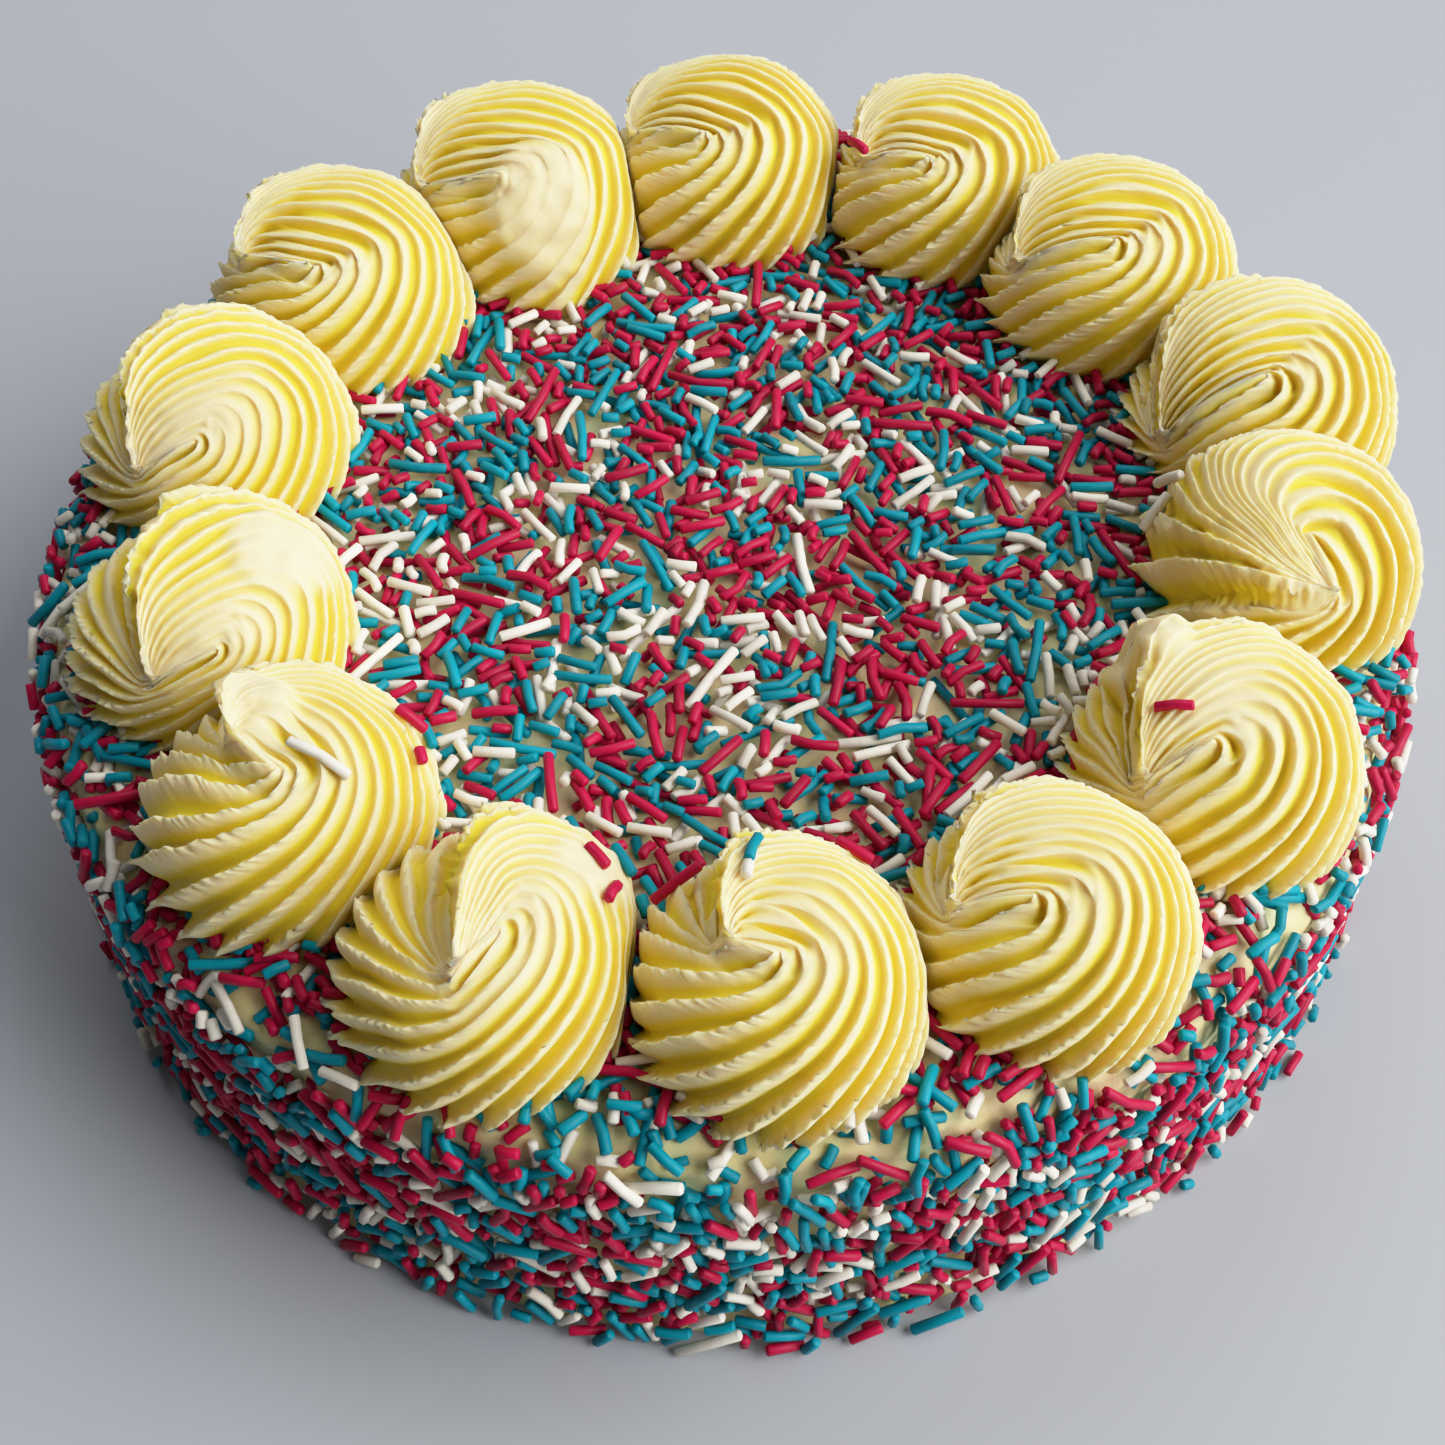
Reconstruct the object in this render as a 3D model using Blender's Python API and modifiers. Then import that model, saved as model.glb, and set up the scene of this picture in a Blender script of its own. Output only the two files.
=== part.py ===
"""Gender reveal cake: a round iced cake strewn with sugar strands, with a ring of piped buttercream swirls.

Run with blender --background --python part.py, or from Blender's text editor. Metres, +Z up, with the
origin on the floor under the middle of the cake.
"""

import math
import random

import bmesh
import bpy
import numpy as np
from mathutils import Matrix, Vector

# Iced body
CAKE_RADIUS = 0.1037
CAKE_HEIGHT = 0.0527
SHOULDER = 0.007  # radius of the rounded top edge
FOOT_FLARE = 0.0026  # how far the icing and strands spread where the wall meets the floor
FOOT_HEIGHT = 0.006
BODY_SIDES = 80

# Sugar strands fused to the icing
STRANDS_ON_TOP = 48
STRANDS_ON_WALL = 104
STRAND_THICKNESS = 0.0021
STRAND_LENGTHS = (0.006, 0.0105)
STRAND_SIDES = 5
STRAND_LIFT = 0.0001  # height of a strand's axis over the icing's surface
TOP_FIELD = 0.056  # radius of the strewn field inside the ring of swirls
WALL_BAND = (0.004, 0.043)  # heights between which strands cling to the wall
GOLDEN_ANGLE = math.pi * (3 - math.sqrt(5))

# Piped swirls
SWIRL_RADIUS = 0.0209
SWIRL_HEIGHT = 0.0246
FOLDS = 18
FOLD_DEPTH = 0.155  # of the swirl's radius, at its foot
DOME_POWER = 2.4  # of the superellipse that a swirl's side view follows
DOME_TOP = math.radians(80)  # angle up the dome at which the folds meet and the nose starts
TWIST = math.radians(148)  # turn of the folds from the foot to the top of the dome
NOSE_TWIST = math.radians(40)
TOP_TILT = math.radians(20)  # of the cross-section where the folds meet, towards the nose
NOSE_TILT = math.radians(50)  # added to that along a long nose
NOSE_CLEAR = 0.0008  # least height of the nose over the dome
SWAY = math.radians(36)  # how much faster the folds turn on the right than on the left
CROWD = 0.12  # how much closer the folds stand on one side
GAP = 0.0003  # kept between neighbours that touch
SQUASH = 0.0015  # softness of the flat where two swirls press together

# One row for each swirl, counterclockwise from the front: bearing (degrees) and distance (mm) of its middle,
# then where the folds meet and where the nose ends, both in swirl radii from that middle.
SWIRLS = (
    (-85.2, 81.2, (0.00, 0.03), (-0.25, -0.04)),
    (-58.9, 84.1, (-0.24, 0.08), (-0.70, -0.26)),
    (-33.9, 82.5, (-0.18, -0.05), (-0.62, -0.52)),
    (-6.4, 83.9, (-0.07, -0.04), (0.12, -0.78)),
    (14.7, 86.5, (-0.22, -0.13), (-0.82, -0.66)),
    (39.0, 83.7, (-0.16, -0.07), (-0.80, -0.50)),
    (62.7, 84.1, (-0.20, -0.16), (-0.72, -0.16)),
    (89.1, 80.7, (-0.18, -0.12), (-0.74, -0.32)),
    (115.8, 80.2, (-0.12, -0.18), (-0.72, -0.36)),
    (141.6, 79.8, (-0.08, -0.14), (-0.61, -0.26)),
    (168.0, 80.7, (0.02, -0.20), (-0.28, -0.72)),
    (-163.8, 77.4, (0.06, -0.18), (-0.18, -0.66)),
    (-137.4, 79.9, (0.10, -0.08), (-0.30, 0.16)),
    (-111.2, 82.7, (0.08, 0.02), (-0.20, -0.30)),
)
# Steps up the dome and along the nose at which a swirl's cross-sections are set
DOME_STEPS = (0.0, 0.08, 0.28, 0.5, 0.7, 0.86, 1.0)
NOSE_STEPS = (0.45, 0.8)

ICING = ((0.88, 0.78, 0.47), 0.5)
BUTTERCREAM = ((0.90, 0.80, 0.44), 0.42)


def clear_scene():
    """Removes every object, mesh and collection of the open file."""
    for obj in list(bpy.data.objects):
        bpy.data.objects.remove(obj, do_unlink=True)
    for collection in list(bpy.data.collections):
        bpy.data.collections.remove(collection)


def collection_named(name):
    collection = bpy.data.collections.new(name)
    bpy.context.scene.collection.children.link(collection)
    return collection


def material(name, colour, roughness):
    made = bpy.data.materials.new(name)
    made.use_nodes = True
    shader = made.node_tree.nodes["Principled BSDF"]
    shader.inputs["Base Color"].default_value = (*colour, 1.0)
    shader.inputs["Roughness"].default_value = roughness
    shader.inputs["Metallic"].default_value = 0.0
    return made


def smooth(obj, angle=50):
    obj.data.shade_smooth()
    obj.data.set_sharp_from_angle(angle=math.radians(angle))


def icing_drop(radius):
    """How far the icing's surface lies under the cake's flat top, at a distance from the middle."""
    past = np.clip(np.asarray(radius) - (CAKE_RADIUS - SHOULDER), 0.0, 0.75 * SHOULDER)
    return SHOULDER - np.sqrt(SHOULDER**2 - past**2)


def make_body(parts):
    """The iced cake, turned from a profile that runs down its outer side from the middle of the top."""
    profile = [(0.0, CAKE_HEIGHT), (0.6 * CAKE_RADIUS, CAKE_HEIGHT)]
    for step in range(4):
        angle = math.radians(90 - 30 * step)
        across = CAKE_RADIUS - SHOULDER + SHOULDER * math.cos(angle)
        profile.append((across, CAKE_HEIGHT - SHOULDER + SHOULDER * math.sin(angle)))
    profile.append((CAKE_RADIUS, FOOT_HEIGHT))
    profile.append((CAKE_RADIUS + 0.3 * FOOT_FLARE, 0.45 * FOOT_HEIGHT))
    profile.append((CAKE_RADIUS + FOOT_FLARE, 0.0))
    profile.append((0.0, 0.0))
    mesh = bpy.data.meshes.new("cake")
    edges = [(i, i + 1) for i in range(len(profile) - 1)]
    mesh.from_pydata([(x, 0.0, z) for x, z in profile], edges, [])
    body = bpy.data.objects.new("cake", mesh)
    parts.objects.link(body)
    turned = body.modifiers.new("Turned", "SCREW")
    turned.steps = turned.render_steps = BODY_SIDES
    turned.use_merge_vertices = True
    turned.merge_threshold = 0.00001
    mesh.materials.append(material("icing", *ICING))
    return body


def strand_mesh(length):
    """A short rod with few sides, along X."""
    shape = bmesh.new()
    lying = Matrix.Rotation(math.radians(90), 4, "Y")
    bmesh.ops.create_cone(
        shape,
        cap_ends=True,
        segments=STRAND_SIDES,
        radius1=STRAND_THICKNESS / 2,
        radius2=STRAND_THICKNESS / 2,
        depth=length,
        matrix=lying,
    )
    mesh = bpy.data.meshes.new("strand")
    shape.to_mesh(mesh)
    shape.free()
    return mesh


def lay_strand(toppings, foot, normal, heading, length):
    """Puts one strand flat against the icing at a point, turned by the heading about the surface's normal."""
    normal = normal.normalized()
    across = normal.cross(Vector((0.0, 0.0, 1.0) if abs(normal.z) < 0.9 else (1.0, 0.0, 0.0))).normalized()
    along = Matrix.Rotation(heading, 3, normal) @ across
    turn = Matrix((along, normal.cross(along), normal)).transposed()
    strand = bpy.data.objects.new("strand", strand_mesh(length))
    strand.matrix_world = Matrix.Translation(foot + STRAND_LIFT * normal) @ turn.to_4x4()
    toppings.objects.link(strand)


def strew(toppings):
    """Spreads the strands evenly over the top field and the wall by the golden angle, longest first."""
    draw = random.Random(7)
    lengths = sorted((draw.uniform(*STRAND_LENGTHS) for _ in range(STRANDS_ON_TOP + STRANDS_ON_WALL)), reverse=True)
    draw.shuffle(lengths)
    for index in range(STRANDS_ON_TOP):
        reach = TOP_FIELD * math.sqrt((index + 0.5) / STRANDS_ON_TOP)
        angle = index * GOLDEN_ANGLE
        foot = Vector((reach * math.cos(angle), reach * math.sin(angle), CAKE_HEIGHT))
        lay_strand(toppings, foot, Vector((0.0, 0.0, 1.0)), draw.uniform(0, math.pi), lengths.pop())
    low, high = WALL_BAND
    for index in range(STRANDS_ON_WALL):
        height = low + (high - low) * (index + 0.5) / STRANDS_ON_WALL
        angle = index * GOLDEN_ANGLE + draw.uniform(-0.04, 0.04)
        normal = Vector((math.cos(angle), math.sin(angle), 0.0))
        length = lengths.pop()
        steepest = math.asin(min(1.0, 2 * (height - 0.0015) / length))
        heading = draw.choice((0, math.pi)) + draw.uniform(-1, 1) * min(steepest, math.radians(80))
        lay_strand(toppings, CAKE_RADIUS * normal + Vector((0, 0, height)), normal, heading, length)


def fuse(body, toppings):
    """Joins the strands to the icing with one Boolean union, applies it and removes the loose strands."""
    union = body.modifiers.new("Strands", "BOOLEAN")
    union.operation = "UNION"
    union.operand_type = "COLLECTION"
    union.collection = toppings
    union.solver = "MANIFOLD"
    graph = bpy.context.evaluated_depsgraph_get()
    joined = bpy.data.meshes.new_from_object(body.evaluated_get(graph))
    body.modifiers.clear()
    body.data = joined
    joined.name = "cake"
    for strand in list(toppings.objects):
        bpy.data.objects.remove(strand, do_unlink=True)
    bpy.data.collections.remove(toppings)


def swirl_sections(eye, tip):
    """Radius, middle, tilt, twist, sway and fold depth of each cross-section of a swirl, foot to nose.

    The dome's side view is a superellipse, drawn in at the foot. The middle moves from the foot's to the
    eye, where the folds meet, and the cross-sections tilt the way the nose points. Along the nose they
    shrink as a quarter circle and tip over until they stand almost upright at its end.
    """
    way = math.atan2(tip[1] - eye[1], tip[0] - eye[0])
    lying = min(1.0, max(0.0, 2.2 * (math.dist(eye, tip) - 0.2)))
    power = 2 / DOME_POWER
    end = 1.03 * math.cos(DOME_TOP) ** power
    rows = []
    for step in DOME_STEPS:
        angle = step * DOME_TOP
        height = 0.965 * math.sin(angle) ** power
        rows.append((
            1.03 * math.cos(angle) ** power * (1 - 0.16 * math.exp(-height / 0.06)),
            (eye[0] * step**4, eye[1] * step**2 + 0.09 * math.sin(math.pi * step), height),
            TOP_TILT * (0.4 + 0.6 * lying) * step**3,
            way - math.radians(11),
            TWIST * step**1.6,
            SWAY * math.sin(0.7 * math.pi * step**1.5),
            FOLD_DEPTH * (1 - 0.4 * step) * (1 - 0.3 * math.exp(-height / 0.05)),
        ))
    top = 0.965 * math.sin(DOME_TOP) ** power
    for step in NOSE_STEPS:
        rows.append((
            end * math.sqrt(1 - step**2) * (1 - 0.25 * step),
            (
                eye[0] + (tip[0] - eye[0]) * step**1.25,
                eye[1] + (tip[1] - eye[1]) * step**1.25,
                top + (0.08 - 0.18 * lying) * step**1.5,
            ),
            TOP_TILT * (0.4 + 0.6 * lying) + NOSE_TILT * lying * step,
            way - math.radians(11 - 17 * step),
            TWIST + NOSE_TWIST * step,
            SWAY * math.sin(0.7 * math.pi) * (1 - step),
            FOLD_DEPTH * 0.6 * (1 - step) ** 0.7,
        ))
    return rows


def dome_height(points, sections):
    """Height of the dome under each point: the top of the stack of tilted discs that hold the point's shadow."""
    heights = np.zeros(points.shape[:-1])
    scale = np.array([SWIRL_RADIUS, SWIRL_RADIUS, SWIRL_HEIGHT])
    for low, high in zip(sections, sections[1:]):
        for share in np.linspace(0, 1, 12):
            reach = low[0] + (high[0] - low[0]) * share
            middle = (np.array(low[1]) * (1 - share) + np.array(high[1]) * share) * scale
            tilt = low[2] + (high[2] - low[2]) * share
            away = points[..., :2] - middle[:2]
            slope = math.tan(tilt) * (away @ np.array([math.cos(low[3]), math.sin(low[3])]))
            inside = np.hypot(away[..., 0], away[..., 1]) < reach * SWIRL_RADIUS
            heights = np.where(inside, np.maximum(heights, middle[2] - slope), heights)
    return heights


def swirl_rings(eye, tip, seed):
    """The swirl's cross-sections as rings of points in metres, two for each fold: a crest and a valley.

    Round each ring the folds turn with the twist, faster on the right than on the left by the sway, and
    their depth shrinks where they crowd together. Every fold has its own depth and a small shift.
    """
    draw = random.Random(seed)
    folds = np.arange(FOLDS) + np.array([draw.uniform(-0.14, 0.14) for _ in range(FOLDS)])
    following = np.roll(folds, -1) + np.where(np.arange(FOLDS) == FOLDS - 1, FOLDS, 0)
    round_foot = np.stack([folds, (folds + following) / 2], axis=1).ravel() * 2 * math.pi / FOLDS
    depth_of_fold = np.repeat([draw.uniform(0.8, 1.2) for _ in range(FOLDS)], 2)
    in_valley = np.tile([0.0, 1.0], FOLDS)
    lean = round_foot + math.radians(60)
    round_foot = round_foot + CROWD * np.sin(lean)
    rings = []
    sections = swirl_sections(eye, tip)
    for reach, middle, tilt, way, twist, sway, depth in sections:
        turned = round_foot - math.radians(10)
        angle = round_foot + twist + sway * np.cos(turned)
        room = np.clip((1 + CROWD * np.cos(lean)) * (1 - sway * np.sin(turned)), 0.15, 1.5) ** 0.8
        radius = SWIRL_RADIUS * (reach - np.minimum(depth * room * depth_of_fold, 0.22 * reach) * in_valley)
        axis = Vector((-math.sin(way), math.cos(way), 0.0))
        turn = np.array(Matrix.Rotation(tilt, 3, axis))
        ring = np.stack([radius * np.cos(angle), radius * np.sin(angle), 0 * angle], axis=1) @ turn.T
        scale = np.array([SWIRL_RADIUS, SWIRL_RADIUS, SWIRL_HEIGHT])
        rings.append(ring + np.array(middle) * scale)
    rings = np.array(rings)
    nose = rings[len(DOME_STEPS) :]
    nose[..., 2] = np.maximum(nose[..., 2], dome_height(nose, sections[: len(DOME_STEPS)]) + NOSE_CLEAR)
    return rings


def split_quad(points, corners):
    """Two triangles that meet along the shorter diagonal."""
    a, b, c, d = corners
    if np.linalg.norm(points[a] - points[c]) < np.linalg.norm(points[b] - points[d]):
        return [(a, b, c), (a, c, d)]
    return [(a, b, d), (b, c, d)]


def press(points, towards):
    """Squashes the points softly against the plane halfway to a neighbour, whose middle lies at towards."""
    half = np.linalg.norm(towards) / 2
    unit = towards / (2 * half)
    room = half - points[..., :2] @ unit - GAP / 2
    kept = (room + np.sqrt(room**2 + SQUASH**2)) / 2
    points[..., :2] += (room - kept)[..., None] * unit
    return points


def make_swirl(parts, number, colour, middles):
    """One piped swirl, a loft of its rings, closed by its nose and by an underside that follows the icing."""
    bearing, distance, eye, tip = SWIRLS[number]
    middle = middles[number]
    rings = swirl_rings(eye, tip, 100 + number)
    for neighbour in (number - 1, (number + 1) % len(SWIRLS)):
        rings = press(rings, middles[neighbour] - middle)
    out = np.linalg.norm(rings[..., :2] + middle, axis=-1)
    rings[..., 2] -= 0.65 * icing_drop(out) * np.clip(1 - rings[..., 2] / SWIRL_HEIGHT, 0, 1) ** 2
    count = rings.shape[1]
    nose = np.mean(rings[-1], axis=0)
    nose += (nose - np.mean(rings[-2], axis=0)) * 0.35
    outward = middle / np.linalg.norm(middle)
    hub = outward * min(CAKE_RADIUS - SHOULDER - np.linalg.norm(middle), 0.55 * SWIRL_RADIUS)
    points = [*rings.reshape(-1, 3), nose, np.array([hub[0], hub[1], 0.0])]
    tip_index, hub_index = len(points) - 2, len(points) - 1
    faces = []
    for j in range(count):
        after = (j + 1) % count
        for i in range(len(rings) - 1):
            faces += split_quad(points, (i * count + j, i * count + after, (i + 1) * count + after, (i + 1) * count + j))
        faces.append(((len(rings) - 1) * count + j, (len(rings) - 1) * count + after, tip_index))
        faces.append((after, j, hub_index))
    name = f"swirl_{number + 1:02d}"
    mesh = bpy.data.meshes.new(name)
    mesh.from_pydata([tuple(map(float, point)) for point in points], [], faces)
    mesh.materials.append(colour)
    swirl = bpy.data.objects.new(name, mesh)
    swirl.location = (middle[0], middle[1], CAKE_HEIGHT + GAP)
    parts.objects.link(swirl)
    smooth(swirl, 75)


def main():
    clear_scene()
    parts = collection_named("gender_reveal_cake")
    toppings = collection_named("toppings")
    body = make_body(parts)
    strew(toppings)
    fuse(body, toppings)
    smooth(body)
    colour = material("buttercream", *BUTTERCREAM)
    middles = [
        distance / 1000 * np.array([math.cos(math.radians(bearing)), math.sin(math.radians(bearing))])
        for bearing, distance, _, _ in SWIRLS
    ]
    for number in range(len(SWIRLS)):
        make_swirl(parts, number, colour, middles)


main()
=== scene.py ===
"""Gender reveal cake: icing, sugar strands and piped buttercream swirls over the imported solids."""

import math

import bpy
import numpy as np
from bpy.props import FloatProperty, FloatVectorProperty, IntProperty, PointerProperty
from bpy.types import Operator, Panel, PropertyGroup
from mathutils import Matrix, Vector


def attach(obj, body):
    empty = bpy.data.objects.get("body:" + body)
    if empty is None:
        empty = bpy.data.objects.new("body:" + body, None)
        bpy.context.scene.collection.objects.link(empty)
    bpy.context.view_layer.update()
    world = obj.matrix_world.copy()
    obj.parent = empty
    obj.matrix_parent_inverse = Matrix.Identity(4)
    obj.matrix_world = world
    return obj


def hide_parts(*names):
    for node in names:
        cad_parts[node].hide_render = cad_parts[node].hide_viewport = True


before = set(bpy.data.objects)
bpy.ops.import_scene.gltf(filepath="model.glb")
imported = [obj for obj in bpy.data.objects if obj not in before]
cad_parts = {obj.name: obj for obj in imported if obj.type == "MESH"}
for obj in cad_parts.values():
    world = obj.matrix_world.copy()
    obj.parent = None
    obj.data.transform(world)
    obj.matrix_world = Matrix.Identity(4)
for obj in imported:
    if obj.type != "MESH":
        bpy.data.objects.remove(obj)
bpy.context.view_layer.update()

bl_info = {
    "name": "Gender reveal cake",
    "version": (1, 0, 0),
    "blender": (4, 5, 0),
    "location": "View3D > Sidebar > Cake",
    "description": "Ices a round cake, strews sugar strands on it and pipes a ring of swirls",
    "category": "Object",
}

MM = 0.001  # every shape is worked out in millimetres and put into its mesh in metres

# One row for each swirl, counterclockwise from the front: bearing (degrees) and distance (mm) of its middle,
# and its size; its eye and the tip of its fan, both on the dome rolled out flat as a unit disc; where the
# fan's left edge reaches the foot, and how far its law of turning is itself turned (degrees); how far round
# the fan's edge moves back on its way to the tip, and how deep the flank beside it drops (share of height).
SWIRLS = (
    (-85.2, 81.2, 1.0, (-0.02, -0.09), (-0.14, -0.06), 112, 0, 0.15, 0.34),
    (-59.6, 83.8, 0.97, (-0.12, -0.11), (-0.42, -0.13), 118, 0, 0.15, 0.34),
    (-33.9, 82.5, 1.0, (-0.12, -0.17), (-0.42, -0.34), 118, 0, 0.15, 0.34),
    (-6.4, 83.9, 1.02, (-0.02, -0.22), (0.10, -0.49), 205, 72, 0.02, 0.16),
    (15.0, 88.8, 1.05, (-0.10, -0.21), (-0.63, -0.40), 130, 10, 0.15, 0.34),
    (39.0, 83.7, 1.07, (-0.06, -0.19), (-0.52, -0.21), 125, 6, 0.15, 0.26),
    (62.7, 84.1, 1.05, (-0.12, -0.23), (-0.42, -0.16), 138, 12, 0.15, 0.18),
    (89.1, 80.0, 1.07, (-0.12, -0.21), (-0.50, -0.10), 140, 12, 0.15, 0.18),
    (115.8, 79.2, 1.11, (-0.06, -0.29), (-0.46, -0.25), 130, 10, 0.15, 0.24),
    (142.0, 80.0, 1.08, (-0.04, -0.25), (-0.38, -0.17), 125, 6, 0.15, 0.25),
    (168.0, 80.7, 1.05, (0.00, -0.40), (-0.25, -0.53), 112, 0, 0.15, 0.28),
    (-163.8, 77.4, 1.03, (0.13, -0.42), (-0.12, -0.57), 112, 0, 0.15, 0.34),
    (-137.4, 79.9, 1.03, (0.03, -0.08), (-0.09, 0.01), 112, 0, 0.15, 0.34),
    (-111.2, 82.7, 1.02, (0.05, -0.10), (-0.06, -0.26), 105, -8, 0.15, 0.34),
)
# Where the points of one fold lie between its crest (0) and the next (1)
FOLD_STATIONS = (0.0, 0.05, 0.13, 0.25, 0.38, 0.51, 0.63, 0.74, 0.84, 0.94)
# How far the folds slant off the way to the eye: angle round the ring, and slant there (degrees)
SLANT_ROUND = (0, 30, 60, 90, 110, 135, 160, 180, 200, 225, 270, 315, 360)
SLANTS = (72, 69, 62, 45, 22, 12, 14, 20, 28, 40, 56, 66, 72)
# Where the cream was smeared smooth or left a lump: swirl, place about its middle, radius and rise (mm)
SMEARS = (
    (8, 4.5, -14.0, 9.5, 1.7),
    (2, -10.3, 10.8, 5.0, 2.0),
    (11, 12.5, 3.0, 7.5, 0.6),
    (12, -2.5, 5.5, 5.5, 1.6),
    (13, 15.0, 8.0, 6.0, 0.4),
)
# Strands that fell on the swirls: swirl, place about its middle (mm), heading (degrees), length (mm), colour
STRAYS = (
    (6, -16.1, -6.1, -50, 4.6, 0),
    (2, -9.4, -2.9, -8, 5.2, 0),
    (13, 14.3, 8.6, -40, 4.0, 0),
    (13, 16.6, 3.4, 55, 3.6, 0),
    (12, 16.1, 8.3, 0, 5.0, 0),
    (12, 18.6, 8.6, -70, 4.4, 1),
    (12, 17.9, 2.4, -60, 2.4, 0),
    (0, 10.5, 13.5, -28, 5.4, 0),
    (0, -13.4, 11.5, -5, 8.0, 0),
    (12, 7.3, -3.1, -25, 9.2, 2),
    (3, -17.5, 8.5, -32, 5.8, 2),
    (3, -19.0, 5.0, 5, 6.5, 2),
    (0, -2.5, 11.0, 78, 5.0, 1),
    (0, -2.6, 7.5, 80, 4.2, 2),
    (13, 17.5, 10.5, -62, 5.2, 1),
)
# Pink, blue and white among the strands, and how many places each one tries
SHARES_ON_TOP, TRIES_ON_TOP = (0.43, 0.355, 0.215), 7
SHARES_ON_WALL, TRIES_ON_WALL = (0.40, 0.36, 0.24), 5
# How high over the icing a strand may lie; what the foot adds to that, and how fast this fades going up (mm)
HIGHEST_ON_TOP = 3.8
HIGHEST_ON_WALL, MORE_AT_FOOT, FOOT_FADES = 2.9, 4.2, 6
HEAP, HEAP_FADES = 5.0, 4.5  # the heap at the foot, and how fast it fades going up (mm)
THICK_UP_TO, THICK_WAVES = 47.5, 3.5  # where the thick layer ends, and how far that wanders (mm)
FOOT_SHARE, FOOT_REACH = 0.25, 8  # strands thrown at the foot, and how high those reach (mm)
SHORTER = 0.86  # length of the wall's strands against the top's
SEAT = 0.42  # height of a strand's middle over what it lies on, as a share of its thickness
LEFT_OUT = -99.0  # height of a strand that isn't laid (mm)
FAN_EDGE = (-0.004, 0.013)  # from where to where the fan's edge drops, as a share of the way round
WIDEST, DEEPEST = 4.8, 2.7  # limits of a fold's width and depth (mm)
RINGS = 150  # rings of points from a swirl's foot to its slit
FOOT_SINKS = 0.35  # how far the swirls' feet are sunk in the icing (mm)
# Name, place and size (m), power (W) and colour of each light
LIGHTS = (
    ("window", (1.90, -0.18, 1.54), 2.35, 113.0, (1.0, 0.99, 0.97)),
    ("room", (0.92, -0.66, 0.35), 0.6, 4.8, (1.0, 0.99, 0.97)),
    ("sky", (-0.10, 0.60, 0.95), 0.8, 4.5, (0.93, 0.96, 1.0)),
)


# --- Sizes and colours ---


def metres(name, about, value):
    return FloatProperty(name=name, description=about, default=value, unit="LENGTH")


def share_of(name, about, value):
    return FloatProperty(name=name, description=about, default=value, subtype="FACTOR")


def colour_of(name, about, value):
    return FloatVectorProperty(name=name, description=about, default=value, subtype="COLOR")


class IcingSizes(PropertyGroup):
    """Sizes of the iced body."""

    radius: metres("Radius", "Radius of the iced wall", 0.1037)
    height: metres("Height", "Height of the flat top", 0.0527)
    shoulder: metres("Shoulder", "Radius of the top edge", 0.007)
    flare: metres("Foot flare", "Spread of the foot", 0.0022)
    flare_height: metres("Flare height", "Height of that", 0.006)
    waves: metres("Waves", "Depth of the knife's waves", 0.0005)


class SwirlSizes(PropertyGroup):
    """Sizes of a piped swirl."""

    radius: metres("Radius", "Radius at its widest", 0.0209)
    height: metres("Height", "Height over the icing", 0.0246)
    folds: IntProperty(name="Folds", description="Folds that the nozzle presses", default=18, min=8, max=40)
    depth: share_of("Fold depth", "Share of a fold's width", 0.58)
    overhang: share_of("Overhang", "Share of a fold's width", 0.16)
    tear: metres("Tear", "How torn the crests are", 0.0006)


class StrandSizes(PropertyGroup):
    """Sizes and numbers of the sugar strands."""

    thickness: metres("Thickness", "Of one strand", 0.00157)
    shortest: metres("Shortest", "Length of a stub", 0.0024)
    longest: metres("Longest", "Length of the longest", 0.0125)
    on_top: IntProperty(name="On top", description="Strands dropped on the top", default=17000)
    on_wall: IntProperty(name="On the wall", description="Strands pressed on the wall", default=14500)


class CakeColours(PropertyGroup):
    """Colours of the icing and the strands."""

    buttercream: colour_of("Buttercream", "Piped buttercream", (0.86, 0.725, 0.43))
    icing: colour_of("Icing", "Spread icing", (0.80, 0.68, 0.34))
    pink: colour_of("Pink", "Pink strands", (0.41, 0.004, 0.042))
    blue: colour_of("Blue", "Blue strands", (0.0, 0.225, 0.31))
    white: colour_of("White", "White strands", (0.78, 0.725, 0.62))
    floor: colour_of("Floor", "The floor", (0.37, 0.389, 0.43))


# --- Arrays and noise ---

HASH_AXES = (374761393, 668265263, 1442695041)  # what stirs the corners' places
HASH_SEED, HASH_MASK = 1274126177, 0x7FFFFFFF


def stacked(*parts):
    """The parts, some of which may be single numbers, side by side on a new last axis."""
    return np.stack(np.broadcast_arrays(*parts), -1)


def polar(out, angle, up):
    """Places at this distance out and height up, at this angle round the cake."""
    return stacked(out * np.cos(angle), out * np.sin(angle), up)


def unit(vectors):
    """The vectors brought to length 1."""
    return vectors / np.maximum(np.linalg.norm(vectors, axis=-1, keepdims=True), 1e-9)


def bell(value, width):
    """1 at 0, falling to both sides as e to the minus square of the value over the width."""
    return np.exp(-((value / width) ** 2))


def noise(points, seed=0):
    """Value noise from -1 to 1: each corner of a unit lattice has its own hashed number, blended smoothly."""
    cell = np.floor(points).astype(np.int64)
    part = points - cell
    part = part * part * (3 - 2 * part)
    total = 0.0
    for corner in range(8):
        step = np.array([corner & 1, corner >> 1 & 1, corner >> 2 & 1])
        at = cell + step
        mixed = sum(at[..., axis] * factor for axis, factor in enumerate(HASH_AXES)) + seed * HASH_SEED
        mixed = mixed & HASH_MASK
        mixed = ((mixed ^ (mixed >> 13)) * HASH_SEED) & HASH_MASK
        value = ((mixed ^ (mixed >> 16)) & 0xFFFF) / 32767.5 - 1
        total = total + value * np.prod(np.where(step, part, 1 - part), axis=-1)
    return total


def soft_step(value, low, high):
    """0 below low, 1 above high, and a smooth cubic rise between."""
    share = np.clip((value - low) / (high - low), 0, 1)
    return share * share * (3 - 2 * share)


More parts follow.
